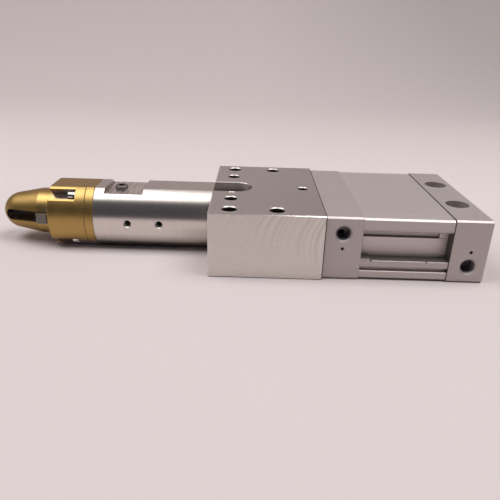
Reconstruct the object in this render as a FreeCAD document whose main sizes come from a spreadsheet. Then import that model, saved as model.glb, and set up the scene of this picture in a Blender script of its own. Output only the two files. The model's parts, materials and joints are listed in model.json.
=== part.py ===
"""Pin clamp cylinder: a slotted locating nose with a hook arm, driven by a flat air cylinder.

Millimetres. +X runs along the axis from the nose to the head cover, the air ports face -Y, +Z is up.
The origin is the centre of the four mounting holes, on the underside of the guide block.
"""
import FreeCAD, Part
import math
import os

import Sketcher
from FreeCAD import Placement, Rotation, Vector

doc = FreeCAD.newDocument("PinClampCylinder")

# Driving dimensions, in millimetres and degrees.
SIZES = {
    # Guide block
    "block_long": 68.0,
    "block_wide": 108.0,
    "block_high": 40.0,
    "block_edge": 0.5,
    "end_edge": 0.4,
    "axis_drop": 0.25,
    "bolt_row": 12.0,
    "bolt_pitch_long": 28.0,
    "bolt_edge": 9.0,
    "bolt_hole": 9.0,
    "bolt_hole_edge": 0.6,
    "dowel_pitch": 50.0,
    "dowel_hole": 8.0,
    "dowel_hole_edge": 0.5,
    "vent_hole": 6.6,
    "vent_hole_edge": 0.5,
    "vent_inset": 9.7,
    "top_slot_wide": 20.5,
    "top_slot_long": 25.0,
    "top_slot_deep": 6.0,
    "top_slot_edge": 0.3,
    "plug_mark": 4.3,
    "plug_mark_edge": 0.35,
    "plug_mark_inset": 3.2,
    # Neck
    "neck_long": 76.0,
    "neck_dia": 44.5,
    "flat_deep": 2.4,
    "under_deep": 2.75,
    "ring_edge": 0.4,
    "neck_bore": 26.0,
    "neck_web": 12.0,
    "spigot_dia": 25.0,
    "spigot_long": 6.0,
    "pocket_inset": 6.4,
    "pocket_long": 24.8,
    "pocket_deep": 2.75,
    "side_tap": 4.2,
    "side_tap_edge": 0.5,
    "side_tap_inset": 33.9,
    "side_tap_pitch": 20.1,
    "side_tap_deep": 7.0,
    "neck_screw": 5.0,
    "neck_screw_land": 1.0,
    "neck_screw_angle": 30.0,
    "neck_screw_thread": 9.0,
    # Spacer ring, seat ring and their screws
    "spacer_long": 5.5,
    "seat_long": 23.4,
    "seat_web": 6.4,
    "notch_wide": 7.5,
    "notch_flat_deep": 0.58,
    "seat_screw": 3.0,
    "seat_screw_head": 5.5,
    "seat_screw_inset": 2.45,
    "seat_screw_angle": 48.2,
    "seat_screw_thread": 7.0,
    "lock_washer_dia": 5.6,
    "lock_washer_long": 1.3,
    "lock_washer_slit": 0.6,
    # Locating nose
    "seat_wall": 7.25,
    "nose_long": 35.6,
    "nose_base": 9.8,
    "nose_ball": 12.0,
    "flange_land": 0.55,
    "nose_flange_long": 4.5,
    "nose_dowel": 2.0,
    "nose_dowel_long": 8.0,
    "arm_side_gap": 0.4,
    "arm_slot_back": 8.9,
    "arm_slot_relief": 10.8,
    "arm_slot_run": 3.4,
    # Clamp arm and its pins
    "stroke": 15.0,
    "swing": 6.0,
    "arm_thick": 6.4,
    "arm_boss": 15.0,
    "arm_back": 7.5,
    "arm_front": 9.0,
    "arm_tip_back": -2.2,
    "hook_gap": 1.5,
    "hook_long": 8.0,
    "hook_reach": 18.0,
    "hook_edge": 1.4,
    "cam_pin": 8.0,
    "cam_pin_inset": 14.7,
    "cam_pin_below": 17.0,
    "cam_pin_rise": 2.1,
    "cam_pin_edge": 0.5,
    "cam_pin_socket": 4.0,
    "cam_pin_socket_deep": 3.0,
    "cam_lever": 31.3,
    "pivot_pin": 8.0,
    "pivot_pin_long": 18.0,
    "fork_clear": 2.3,
    "fork_back": 11.0,
    # Piston rod, bushes and rod seal
    "rod_dia": 20.0,
    "rod_pass": 0.4,
    "running_gap": 0.04,
    "bush_wall": 2.0,
    "block_bush_long": 30.0,
    "block_bush_inset": 20.0,
    "rod_seal_dia": 29.0,
    "rod_seal_long": 5.5,
    "retainer_long": 1.5,
    # Flat cylinder
    "cover_long": 22.0,
    "head_long": 22.0,
    "cover_wide": 104.0,
    "cover_step": 0.5,
    "cover_edge": 1.0,
    "tube_inset": 0.5,
    "side_wall": 11.5,
    "flat_wall": 6.5,
    "rail_high": 8.3,
    "switch_slot_high": 5.4,
    "bar_high": 5.0,
    "foot_groove_high": 1.7,
    "foot_high": 5.2,
    "recess_deep": 7.5,
    "switch_slot_deep": 2.0,
    "foot_groove_deep": 3.0,
    "rail_round": 1.8,
    "rail_edge": 0.3,
    "bar_notch_wide": 1.2,
    "bar_notch_high": 1.3,
    "bar_notch_deep": 2.0,
    "bar_notch_rear": 13.0,
    "upper_spacer_long": 5.0,
    "lower_spacer_long": 5.7,
    "lower_spacer_high": 1.0,
    "tie_bolt": 5.0,
    "tie_angle": 51.2,
    "tie_land": 0.4,
    "tie_thread": 12.0,
    "port_dia": 8.5,
    "port_deep": 9.0,
    "port_drop": 9.3,
    "rod_port_inset": 10.7,
    "head_port_inset": 10.1,
    "port_edge": 1.0,
    "air_way": 3.5,
    "air_outlet": 3.0,
    "air_way_rise": 2.2,
    "air_way_inset": 18.5,
    "mark_hole": 2.0,
    "mark_hole_deep": 3.0,
    "head_hole": 14.4,
    "head_hole_deep": 9.0,
    "head_bolt_hole": 9.0,
    "head_hole_pitch": 43.2,
    "gasket_cord": 1.8,
    "gasket_rise": 0.4,
    # Piston
    "piston_long": 28.4,
    "bumper_long": 4.0,
    "bumper_inset": 14.0,
    "bumper_gap": 0.4,
    "stop_gap": 0.3,
    "piston_gap": 0.05,
    "seal_long": 4.0,
    "seal_deep": 3.0,
    "seal_inset": 4.0,
    "wear_long": 6.0,
    "wear_deep": 1.5,
    "magnet_long": 4.0,
    "magnet_deep": 2.5,
    "groove_land": 3.0,
    "rod_tail": 12.0,
    "nut_across": 18.0,
    "nut_high": 7.0,
    "nut_clear": 0.4,
    # Hole mouths, from the hole's axis
    "mouth_angle": 45.0,
    # Socket head screws, as shares of the thread diameter
    "head_ratio": 1.7,
    "socket_ratio": 0.8,
    "socket_depth_ratio": 0.55,
    "head_room": 1.0,
    "screw_room": 0.5,
}

sizes = doc.addObject("Spreadsheet::Sheet", "Sizes")
for row, (alias, number) in enumerate(SIZES.items(), start=1):
    sizes.set(f"A{row}", alias)
    sizes.set(f"B{row}", str(number))
    sizes.setAlias(f"B{row}", alias)
doc.recompute()


class Size:
    """A length that carries its number and the sheet formula that it comes from."""

    def __init__(self, value, formula):
        self.value = value
        self.formula = formula

    def __add__(self, other):
        other = size(other)
        return Size(self.value + other.value, f"({self.formula} + {other.formula})")

    def __sub__(self, other):
        other = size(other)
        return Size(self.value - other.value, f"({self.formula} - {other.formula})")

    def __mul__(self, other):
        other = size(other)
        return Size(self.value * other.value, f"({self.formula} * {other.formula})")

    def __truediv__(self, other):
        other = size(other)
        return Size(self.value / other.value, f"({self.formula} / {other.formula})")

    def __neg__(self):
        return Size(-self.value, f"(0 - {self.formula})")


def size(thing):
    """Takes a Size as it is and a plain number as a constant."""
    if isinstance(thing, Size):
        return thing
    return Size(float(thing), f"({float(thing)})")


def cosine(degrees):
    return Size(math.cos(math.radians(degrees.value)), f"cos({degrees.formula} * 1deg)")


def sine(degrees):
    return Size(math.sin(math.radians(degrees.value)), f"sin({degrees.formula} * 1deg)")


class Sheet:
    """Gives each cell of the sheet by its alias."""

    def __getattr__(self, alias):
        return Size(float(sizes.get(alias)), f"Sizes.{alias}")


s = Sheet()
ZERO = size(0)

# Two points this close, in millimetres, are the same point.
TOUCH = 1e-6

# Stations along the axis, from the nose to the head cover.
block_front = -(s.bolt_row + s.bolt_pitch_long / 2)
block_rear = block_front + s.block_long
neck_front = block_front - s.neck_long
spacer_front = neck_front - s.spacer_long
seat_front = spacer_front - s.seat_long
nose_tip = seat_front - s.nose_long
cover_rear = block_rear + s.cover_long
tube_long = s.piston_long + s.stroke + (s.bumper_long + s.stop_gap) * 2
tube_rear = cover_rear + tube_long
head_rear = tube_rear + s.head_long
piston_rear = tube_rear - s.bumper_long - s.stop_gap
piston_front = piston_rear - s.piston_long
cam_x = neck_front + s.cam_pin_inset
pivot_x = cam_x + s.cam_lever
hook_rear = seat_front - s.hook_gap
hook_front = hook_rear - s.hook_long

# Heights above the axis, which runs a little below the middle of the block.
axis_height = s.block_high / 2 - s.axis_drop
block_top = s.block_high - axis_height
block_floor = -axis_height
neck_radius = s.neck_dia / 2
neck_flat = neck_radius - s.flat_deep
under_flat = neck_radius - s.under_deep
pocket_floor = neck_flat - s.pocket_deep

# Rod, fork and arm.
rod_radius = s.rod_dia / 2
rod_way = rod_radius + s.rod_pass
bush_radius = rod_radius + s.bush_wall
arm_slot_high = s.arm_thick + s.arm_side_gap * 2
fork_front = pivot_x - (s.cam_lever - s.stroke - s.cam_pin / 2 - s.fork_clear)

# Nose and the screws round it, all inside the outline of the neck.
nose_radius = neck_radius - s.seat_wall
seat_screw_way = s.seat_screw / 2 + s.screw_room / 2
seat_screw_radius = neck_radius - s.seat_screw_inset
flange_radius = seat_screw_radius - seat_screw_way - s.flange_land

# Flat cylinder: the covers are a step lower than the block, and the bore keeps its walls.
cover_high = s.block_high - s.cover_step * 2
bore_wide = s.cover_wide - s.side_wall * 2
bore_high = cover_high - s.flat_wall * 2
tube_half_wide = s.cover_wide / 2 - s.tube_inset
tube_half_high = cover_high / 2 - s.tube_inset
recess_floor = tube_half_wide - s.recess_deep
switch_slot_floor = recess_floor - s.switch_slot_deep
rail_low = tube_half_high - s.rail_high
switch_lip = rail_low - s.switch_slot_high
foot_top = -tube_half_high + s.foot_high
bar_low = foot_top + s.foot_groove_high
bar_top = bar_low + s.bar_high


def bind(item, prop, length):
    """Ties a property of an object to the sheet."""
    item.setExpression(prop, length.formula)


def new_body(label):
    """A body whose own origin lies on the cylinder's axis."""
    body = doc.addObject("PartDesign::Body", label)
    body.Label = label
    bind(body, "Placement.Base.z", axis_height)
    return body


def new_sketch(body, name, role, offset=ZERO):
    """A sketch on one of the body's origin planes, moved along the plane's normal by the offset."""
    sketch = body.newObject("Sketcher::SketchObject", f"{body.Name}_{name}")
    support = [plane for plane in body.Origin.OriginFeatures if plane.Role == role][0]
    sketch.AttachmentSupport = (support, [""])
    sketch.MapMode = "FlatFace"
    sketch.AttachmentOffset = Placement(Vector(0, 0, offset.value), Rotation())
    bind(sketch, "AttachmentOffset.Base.z", offset)
    return sketch


def fix(sketch, geometry, point, across, up):
    """Ties a point of a sketch to its two distances from the sketch's origin."""
    for kind, length, axis in (("DistanceX", across, -2), ("DistanceY", up, -1)):
        if length is ZERO:
            sketch.addConstraint(Sketcher.Constraint("PointOnObject", geometry, point, axis))
        else:
            index = sketch.addConstraint(Sketcher.Constraint(kind, -1, 1, geometry, point, length.value))
            sketch.setExpression(f"Constraints[{index}]", length.formula)


def set_radius(sketch, geometry, radius):
    index = sketch.addConstraint(Sketcher.Constraint("Radius", geometry, radius.value))
    sketch.setExpression(f"Constraints[{index}]", radius.formula)


def flat_vector(across, up):
    return Vector(across.value, up.value, 0)


def circles(sketch, centres, radius):
    for across, up in centres:
        ring = Part.Circle(flat_vector(across, up), Vector(0, 0, 1), radius.value)
        geometry = sketch.addGeometry(ring)
        fix(sketch, geometry, 3, across, up)
        set_radius(sketch, geometry, radius)


def polygon(sketch, corners):
    """A closed outline of straight lines, each corner tied to the sheet."""
    lines = []
    for start, end in zip(corners, corners[1:] + corners[:1]):
        lines.append(sketch.addGeometry(Part.LineSegment(flat_vector(*start), flat_vector(*end))))
    for line, following in zip(lines, lines[1:] + lines[:1]):
        sketch.addConstraint(Sketcher.Constraint("Coincident", line, 2, following, 1))
    for line, corner in zip(lines, corners):
        fix(sketch, line, 1, *corner)


def rectangle(sketch, left, right, low, high):
    polygon(sketch, [(left, low), (right, low), (right, high), (left, high)])


def hexagon(sketch, across_flats, across=ZERO, up=ZERO):
    corner = across_flats / math.sqrt(3)
    corners = []
    for step in range(6):
        turn = math.radians(60 * step)
        corners.append((across + corner * math.cos(turn), up + corner * math.sin(turn)))
    polygon(sketch, corners)


def tongue(sketch, flat_end, round_end, half):
    """A strip with one flat end and one half-round end, centred on the sketch's X axis."""
    upper_flat = (flat_end, half)
    lower_flat = (flat_end, -half)
    upper_round = (round_end, half)
    lower_round = (round_end, -half)
    chain = [upper_round, upper_flat, lower_flat, lower_round]
    lines = []
    for start, end in zip(chain, chain[1:]):
        lines.append(sketch.addGeometry(Part.LineSegment(flat_vector(*start), flat_vector(*end))))
    for line, following in zip(lines, lines[1:]):
        sketch.addConstraint(Sketcher.Constraint("Coincident", line, 2, following, 1))
    for line, corner in zip(lines, chain):
        fix(sketch, line, 1, *corner)
    fix(sketch, lines[-1], 2, *lower_round)
    quarter = math.pi / 2
    faces_right = round_end.value > flat_end.value
    first_angle = -quarter if faces_right else quarter
    disc = Part.Circle(flat_vector(round_end, ZERO), Vector(0, 0, 1), half.value)
    arc = sketch.addGeometry(Part.ArcOfCircle(disc, first_angle, first_angle + math.pi))
    upper_point, lower_point = (2, 1) if faces_right else (1, 2)
    sketch.addConstraint(Sketcher.Constraint("Coincident", arc, upper_point, lines[0], 1))
    sketch.addConstraint(Sketcher.Constraint("Coincident", arc, lower_point, lines[-1], 2))
    index = sketch.addConstraint(Sketcher.Constraint("DistanceX", -1, 1, arc, 3, round_end.value))
    sketch.setExpression(f"Constraints[{index}]", round_end.formula)


def obround(sketch, wide, high):
    """A flat oval with straight top and bottom, centred on the sketch's origin."""
    radius = high / 2
    half_straight = (wide - high) / 2
    quarter = math.pi / 2
    arcs = []
    for centre, first_angle in ((half_straight, -quarter), (-half_straight, quarter)):
        disc = Part.Circle(flat_vector(centre, ZERO), Vector(0, 0, 1), radius.value)
        arc = sketch.addGeometry(Part.ArcOfCircle(disc, first_angle, first_angle + math.pi))
        fix(sketch, arc, 3, centre, ZERO)
        set_radius(sketch, arc, radius)
        arcs.append(arc)
    right, left = arcs
    ends = (((half_straight, radius), (-half_straight, radius), right, 2, left, 1),
            ((-half_straight, -radius), (half_straight, -radius), left, 2, right, 1))
    for start, end, from_arc, from_point, to_arc, to_point in ends:
        line = sketch.addGeometry(Part.LineSegment(flat_vector(*start), flat_vector(*end)))
        sketch.addConstraint(Sketcher.Constraint("Tangent", from_arc, from_point, line, 1))
        sketch.addConstraint(Sketcher.Constraint("Tangent", line, 2, to_arc, to_point))


def add(body, sketch, length, reverse=False):
    """Pads a sketch, along its plane's normal unless reversed."""
    feature = body.newObject("PartDesign::Pad", f"{sketch.Name}_pad")
    feature.Profile = sketch
    bind(feature, "Length", length)
    feature.Reversed = reverse
    doc.recompute()
    return feature


def take(body, sketch, length, along_normal=True):
    """Pockets a sketch and makes sure that it removed material."""
    before = body.Shape.Volume
    feature = body.newObject("PartDesign::Pocket", f"{sketch.Name}_pocket")
    feature.Profile = sketch
    bind(feature, "Length", length)
    feature.Reversed = along_normal
    doc.recompute()
    if body.Shape.Volume >= before:
        raise RuntimeError(f"{sketch.Name} removed nothing")
    return feature


def turn_profile(body, sketch):
    """Turns a sketch in the XZ plane about the cylinder's axis."""
    feature = body.newObject("PartDesign::Revolution", f"{sketch.Name}_turned")
    feature.Profile = sketch
    feature.ReferenceAxis = (sketch, ["H_Axis"])
    doc.recompute()
    return feature


def turned_disc(body, start, end, radius, edge):
    """A turned disc on the axis with both rims chamfered."""
    profile = new_sketch(body, "disc", "XZ_Plane")
    polygon(profile, [(start, ZERO), (start, radius - edge), (start + edge, radius),
                      (end - edge, radius), (end, radius - edge), (end, ZERO)])
    return turn_profile(body, profile)


def chamfer_ends(body, feature, edge, way=Vector(1, 0, 0)):
    """Chamfers every edge of the two faces that look along the given way."""
    names = []
    for number, face in enumerate(feature.Shape.Faces, start=1):
        if abs(face.normalAt(0, 0).dot(way)) > 0.9:
            names.append(f"Face{number}")
    chamfer = body.newObject("PartDesign::Chamfer", f"{body.Name}_ends")
    chamfer.Base = (feature, names)
    bind(chamfer, "Size", edge)
    doc.recompute()
    return chamfer


def round_bar(body, name, start, length, radius, centres=((ZERO, ZERO),)):
    """A bar along X from the start station."""
    sketch = new_sketch(body, name, "YZ_Plane", start)
    circles(sketch, centres, radius)
    return add(body, sketch, length)


def bore_rearward(body, name, start, length, radius, centres=((ZERO, ZERO),)):
    """A hole along +X from the start station."""
    sketch = new_sketch(body, name, "YZ_Plane", start)
    circles(sketch, centres, radius)
    return take(body, sketch, length)


def bore_forward(body, name, start, length, radius, centres=((ZERO, ZERO),)):
    """A hole along -X from the start station."""
    sketch = new_sketch(body, name, "YZ_Plane", start)
    circles(sketch, centres, radius)
    return take(body, sketch, length, along_normal=False)


def bore_down(body, name, top, depth, radius, centres):
    """A hole along -Z from the given height."""
    sketch = new_sketch(body, name, "XY_Plane", top)
    circles(sketch, centres, radius)
    return take(body, sketch, depth, along_normal=False)


def bore_inward(body, name, face, depth, radius, centres):
    """A hole along +Y from a face that looks to -Y, at the given distance from the middle plane."""
    sketch = new_sketch(body, name, "XZ_Plane", face)
    circles(sketch, centres, radius)
    return take(body, sketch, depth, along_normal=False)


def chamfer_mouths(body, name, role, face, radius, edge, centres):
    """Conical mouths on a face: wider than the holes by the edge at the face, flush with them below."""
    sketch = new_sketch(body, name, role, face)
    circles(sketch, centres, radius + edge)
    cone = take(body, sketch, edge, along_normal=False)
    bind(cone, "TaperAngle", -s.mouth_angle)
    doc.recompute()
    return cone


def plate(label, start, length, wide, low, high, edge):
    """A rectangular plate across the axis, with all its edges chamfered."""
    body = new_body(label)
    half = wide / 2
    sketch = new_sketch(body, "outline", "YZ_Plane", start)
    polygon(sketch, [
        (-half + edge, low), (half - edge, low), (half, low + edge), (half, high - edge),
        (half - edge, high), (-half + edge, high), (-half, high - edge), (-half, low + edge)])
    chamfer_ends(body, add(body, sketch, length), s.end_edge)
    return body


def four(across, up):
    """The four points that mirror one point across both axes of a sketch."""
    return [(across, up), (-across, up), (-across, -up), (across, -up)]


def mirrored_four(label, item):
    """The piece and its copies across the middle plane and across the axis plane."""
    across = doc.addObject("Part::Mirroring", f"{label}_across")
    across.Source = item
    across.Normal = Vector(0, 1, 0)
    pair = doc.addObject("Part::Compound", f"{label}_pair")
    pair.Links = [item, across]
    below = doc.addObject("Part::Mirroring", f"{label}_below")
    below.Source = pair
    below.Normal = Vector(0, 0, 1)
    bind(below, "Base.z", axis_height)
    return group(label, [pair, below])


def group(label, items):
    """Several separate solids as one sub-part."""
    compound = doc.addObject("Part::Compound", label)
    compound.Label = label
    compound.Links = items
    return compound


def socket_screw(label, seat, shank, thread, head_dia, point, head_faces_rear):
    """A socket head cap screw along X: its head stands on the seat station."""
    body = new_body(label)
    head_high = thread
    socket_deep = thread * s.socket_depth_ratio
    if head_faces_rear:
        head_start, head_top, shank_start = seat, seat + head_high, seat - shank
    else:
        head_start, head_top, shank_start = seat - head_high, seat - head_high, seat
    round_bar(body, "head", head_start, head_high, head_dia / 2, [point])
    round_bar(body, "shank", shank_start, shank, thread / 2, [point])
    socket = new_sketch(body, "socket", "YZ_Plane", head_top)
    hexagon(socket, thread * s.socket_ratio, *point)
    take(body, socket, socket_deep, along_normal=not head_faces_rear)
    return body


def ring_bar(label, start, length, outer, inner):
    """A plain ring on the axis."""
    body = new_body(label)
    sketch = new_sketch(body, "ring", "YZ_Plane", start)
    circles(sketch, [(ZERO, ZERO)], outer)
    circles(sketch, [(ZERO, ZERO)], inner)
    add(body, sketch, length)
    return body


def oval_ring(label, start, length, wide, high, wall):
    """A flat oval ring on the axis."""
    body = new_body(label)
    sketch = new_sketch(body, "ring", "YZ_Plane", start)
    obround(sketch, wide, high)
    obround(sketch, wide - wall * 2, high - wall * 2)
    add(body, sketch, length)
    return body


def two_flats(body, front, rear):
    """The flats that run along the top and the underside of the neck and both gold rings."""
    for name, height, upward in (("top_flat", neck_flat, True), ("under_flat", -under_flat, False)):
        sketch = new_sketch(body, name, "XY_Plane", height)
        rectangle(sketch, front, rear, -neck_radius, neck_radius)
        take(body, sketch, neck_radius, along_normal=upward)


# Places of the screws, seen along the axis.
tie_way = s.tie_bolt / 2 + s.screw_room / 2
tie_head = s.tie_bolt * s.head_ratio
tie_head_room = tie_head / 2 + s.screw_room / 2
tie_reach = bore_high / 2 + s.gasket_rise + s.gasket_cord + s.tie_land + tie_way
tie_place = ((bore_wide - bore_high) / 2 + tie_reach * cosine(s.tie_angle),
             tie_reach * sine(s.tie_angle))
neck_head = s.neck_screw * s.head_ratio
neck_head_room = neck_head / 2 + s.screw_room / 2
neck_screw_radius = bush_radius + neck_head_room + s.neck_screw_land
neck_screw_place = (neck_screw_radius * cosine(s.neck_screw_angle),
                    neck_screw_radius * sine(s.neck_screw_angle))
seat_screw_place = (seat_screw_radius * cosine(s.seat_screw_angle),
                    seat_screw_radius * sine(s.seat_screw_angle))
nose_dowel_place = ((nose_radius + flange_radius) / 2, ZERO)


def chamfer_slot_rim(body, half):
    """Breaks the upper edge of the top slot along both its sides and its round end."""
    names = []
    slotted = body.Tip
    slot_end = block_front + s.top_slot_long
    for number, rim in enumerate(slotted.Shape.Edges, start=1):
        middle = rim.valueAt((rim.FirstParameter + rim.LastParameter) / 2)
        on_top = abs(middle.z - block_top.value) < TOUCH
        in_slot = abs(middle.y) < half.value + TOUCH and middle.x < slot_end.value + TOUCH
        if on_top and in_slot:
            names.append(f"Edge{number}")
    chamfer = body.newObject("PartDesign::Chamfer", "top_slot_rim")
    chamfer.Base = (slotted, names)
    bind(chamfer, "Size", s.top_slot_edge)
    doc.recompute()


def make_guide_block():
    """Machined block: it carries the neck, the cylinder and the mounting holes."""
    body = plate("guide_block", block_front, s.block_long, s.block_wide, block_floor, block_top, s.block_edge)
    slot = new_sketch(body, "top_slot", "XY_Plane", block_top)
    half = s.top_slot_wide / 2
    tongue(slot, block_front, block_front + s.top_slot_long - half, half)
    take(body, slot, s.top_slot_deep, along_normal=False)
    chamfer_slot_rim(body, half)
    bolts = four(s.bolt_pitch_long / 2, s.block_wide / 2 - s.bolt_edge)
    bore_down(body, "bolt_holes", block_top, s.block_high, s.bolt_hole / 2, bolts)
    chamfer_mouths(body, "bolt_mouths", "XY_Plane", block_top, s.bolt_hole / 2, s.bolt_hole_edge, bolts)
    dowel_x = -(s.bolt_pitch_long / 2)
    dowels = [(dowel_x, s.dowel_pitch / 2), (dowel_x, -(s.dowel_pitch / 2))]
    bore_down(body, "dowel_holes", block_top, s.block_high, s.dowel_hole / 2, dowels)
    chamfer_mouths(body, "dowel_mouths", "XY_Plane", block_top, s.dowel_hole / 2, s.dowel_hole_edge, dowels)
    plug = [(dowel_x, -(half + s.plug_mark_inset))]
    chamfer_mouths(body, "plug_mark", "XY_Plane", block_top, s.plug_mark / 2, s.plug_mark_edge, plug)
    bore_rearward(body, "spigot_seat", block_front, s.spigot_long, s.spigot_dia / 2)
    bore_rearward(body, "rod_way", block_front, s.block_long, rod_way)
    bore_forward(body, "bush_seat", block_rear, s.block_long - s.block_bush_inset, bush_radius)
    vent = [(block_rear - s.vent_inset, ZERO)]
    bore_down(body, "vent", block_top, block_top, s.vent_hole / 2, vent)
    chamfer_mouths(body, "vent_mouth", "XY_Plane", block_top, s.vent_hole / 2, s.vent_hole_edge, vent)
    screws = four(*neck_screw_place)
    screw_way = s.neck_screw / 2 + s.screw_room / 2
    bore_rearward(body, "neck_screw_ways", block_front, s.block_long, screw_way, screws)
    bore_forward(body, "neck_screw_heads", block_rear, s.neck_screw + s.head_room, neck_head_room, screws)
    bore_forward(body, "tie_threads", block_rear, s.tie_thread + s.head_room, s.tie_bolt / 2,
                 four(*tie_place))
    return body


def make_neck():
    """Turned tube with a flat along its top and bottom and a pocket over the cam pin."""
    body = new_body("neck")
    turned_disc(body, neck_front, block_front, neck_radius, s.ring_edge)
    round_bar(body, "spigot", block_front, s.spigot_long, s.spigot_dia / 2)
    two_flats(body, neck_front, block_front)
    pocket = new_sketch(body, "pocket", "XY_Plane", pocket_floor)
    pocket_front = neck_front + s.pocket_inset
    rectangle(pocket, pocket_front, pocket_front + s.pocket_long, -neck_radius, neck_radius)
    take(body, pocket, neck_radius)
    bore_rearward(body, "chamber", neck_front, s.neck_long - s.neck_web, s.neck_bore / 2)
    bore_rearward(body, "rod_way", neck_front, s.neck_long + s.spigot_long, rod_way)
    bore_forward(body, "neck_screw_threads", block_front, s.neck_screw_thread + s.head_room,
                 s.neck_screw / 2, four(*neck_screw_place))
    bore_rearward(body, "seat_screw_threads", neck_front, s.seat_screw_thread + s.head_room,
                  s.seat_screw / 2, four(*seat_screw_place))
    bore_rearward(body, "nose_dowel_seat", neck_front, s.nose_dowel_long - s.nose_flange_long,
                  s.nose_dowel / 2, [nose_dowel_place])
    bore_down(body, "cam_pin_seat", pocket_floor, pocket_floor + s.cam_pin_below,
              s.cam_pin / 2, [(cam_x, ZERO)])
    first_tap = block_front - s.side_tap_inset
    taps = [(first_tap, ZERO), (first_tap - s.side_tap_pitch, ZERO)]
    bore_inward(body, "side_taps", neck_radius, s.side_tap_deep, s.side_tap / 2, taps)
    chamfer_mouths(body, "side_tap_mouths", "XZ_Plane", neck_radius, s.side_tap / 2, s.side_tap_edge, taps)
    return body


def make_spacer_ring():
    """Thin ring between the neck and the seat ring: it traps the flange of the nose."""
    body = new_body("spacer_ring")
    turned_disc(body, spacer_front, neck_front, neck_radius, s.ring_edge)
    two_flats(body, spacer_front, neck_front)
    bore_forward(body, "flange_seat", neck_front, s.nose_flange_long, flange_radius)
    bore_rearward(body, "nose_way", spacer_front, s.spacer_long, nose_radius)
    bore_rearward(body, "screw_ways", spacer_front, s.spacer_long, seat_screw_way, four(*seat_screw_place))
    return body


def make_seat_ring():
    """Ring whose front face carries the work; four flats with notches let the screws in from the front."""
    body = new_body("seat_ring")
    turned_disc(body, seat_front, spacer_front, neck_radius, s.ring_edge)
    two_flats(body, seat_front, spacer_front)
    bore_rearward(body, "nose_way", seat_front, s.seat_long, nose_radius)
    half = s.notch_wide / 2
    flat_half = neck_radius / 2
    inside = nose_radius / 2
    flat = neck_radius - s.notch_flat_deep
    outside = neck_radius + s.screw_room
    along = cosine(s.seat_screw_angle)
    rise = sine(s.seat_screw_angle)
    corners = [(inside, -half), (flat, -half), (flat, -flat_half), (outside, -flat_half),
               (outside, flat_half), (flat, flat_half), (flat, half), (inside, half)]
    turned = [(along * far - rise * side, rise * far + along * side) for far, side in corners]
    for number, (flip_across, flip_up) in enumerate(((1, 1), (-1, 1), (-1, -1), (1, -1))):
        notch = new_sketch(body, f"notch_{number}", "YZ_Plane", seat_front)
        polygon(notch, [(across * flip_across, up * flip_up) for across, up in turned])
        take(body, notch, s.seat_long - s.seat_web)
    bore_rearward(body, "screw_ways", spacer_front - s.seat_web, s.seat_web, seat_screw_way,
                  four(*seat_screw_place))
    return body


def make_locating_nose():
    """Pin with a straight base, a cone and a ball tip, slotted on one side for the clamp arm."""
    body = new_body("locating_nose")
    base_end = seat_front - s.nose_base
    ball_x = nose_tip + s.nose_ball
    lead = base_end - ball_x
    tangent_angle = math.degrees(math.atan2(nose_radius.value, lead.value)
                                 + math.acos(s.nose_ball.value / math.hypot(nose_radius.value, lead.value)))
    profile = new_sketch(body, "profile", "XZ_Plane")
    ball = Part.Circle(flat_vector(ball_x, ZERO), Vector(0, 0, 1), s.nose_ball.value)
    arc = profile.addGeometry(Part.ArcOfCircle(ball, math.radians(tangent_angle), math.pi))
    fix(profile, arc, 3, ball_x, ZERO)
    set_radius(profile, arc, s.nose_ball)
    profile.addConstraint(Sketcher.Constraint("PointOnObject", arc, 2, -1))
    flange_front = neck_front - s.nose_flange_long
    chain = [(base_end, nose_radius), (flange_front, nose_radius), (flange_front, flange_radius),
             (neck_front, flange_radius), (neck_front, ZERO), (nose_tip, ZERO)]
    touch = Vector(ball_x.value + s.nose_ball.value * math.cos(math.radians(tangent_angle)),
                   s.nose_ball.value * math.sin(math.radians(tangent_angle)), 0)
    cone = profile.addGeometry(Part.LineSegment(touch, flat_vector(*chain[0])))
    profile.addConstraint(Sketcher.Constraint("Tangent", arc, 1, cone, 1))
    last = cone
    for start, end in zip(chain, chain[1:]):
        line = profile.addGeometry(Part.LineSegment(flat_vector(*start), flat_vector(*end)))
        profile.addConstraint(Sketcher.Constraint("Coincident", last, 2, line, 1))
        fix(profile, line, 1, *start)
        last = line
    profile.addConstraint(Sketcher.Constraint("Coincident", last, 2, arc, 2))
    turn_profile(body, profile)
    half_slot = arm_slot_high / 2
    slot_end = hook_front - s.stroke - s.arm_slot_run
    slot = new_sketch(body, "arm_slot", "XZ_Plane", -s.arm_slot_back)
    tongue(slot, neck_front, slot_end, half_slot)
    take(body, slot, flange_radius * 2)
    relief = new_sketch(body, "arm_relief", "XZ_Plane", -s.arm_slot_relief)
    rectangle(relief, seat_front, neck_front, -half_slot, half_slot)
    take(body, relief, flange_radius * 2)
    bore_rearward(body, "dowel_seat", flange_front, s.nose_flange_long, s.nose_dowel / 2, [nose_dowel_place])
    return body


def make_cam_pin():
    """Fixed pin across the neck, put in from the pocket, where its head with a hexagon socket stands up."""
    body = new_body("cam_pin")
    top = pocket_floor + s.cam_pin_rise
    sketch = new_sketch(body, "bar", "XY_Plane", -s.cam_pin_below)
    circles(sketch, [(cam_x, ZERO)], s.cam_pin / 2)
    bar = add(body, sketch, top + s.cam_pin_below)
    chamfer_ends(body, bar, s.cam_pin_edge, Vector(0, 0, 1))
    socket = new_sketch(body, "socket", "XY_Plane", top)
    hexagon(socket, s.cam_pin_socket, cam_x, ZERO)
    take(body, socket, s.cam_pin_socket_deep, along_normal=False)
    return body


def cam_point(travel):
    """Where the cam pin lies in the arm, from the arm's pivot, after the rod has moved by the travel."""
    angle = math.radians(s.swing.value) * travel / s.stroke.value
    lever = s.cam_lever.value - travel
    return Vector(-lever * math.cos(angle), -lever * math.sin(angle), 0)


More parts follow.
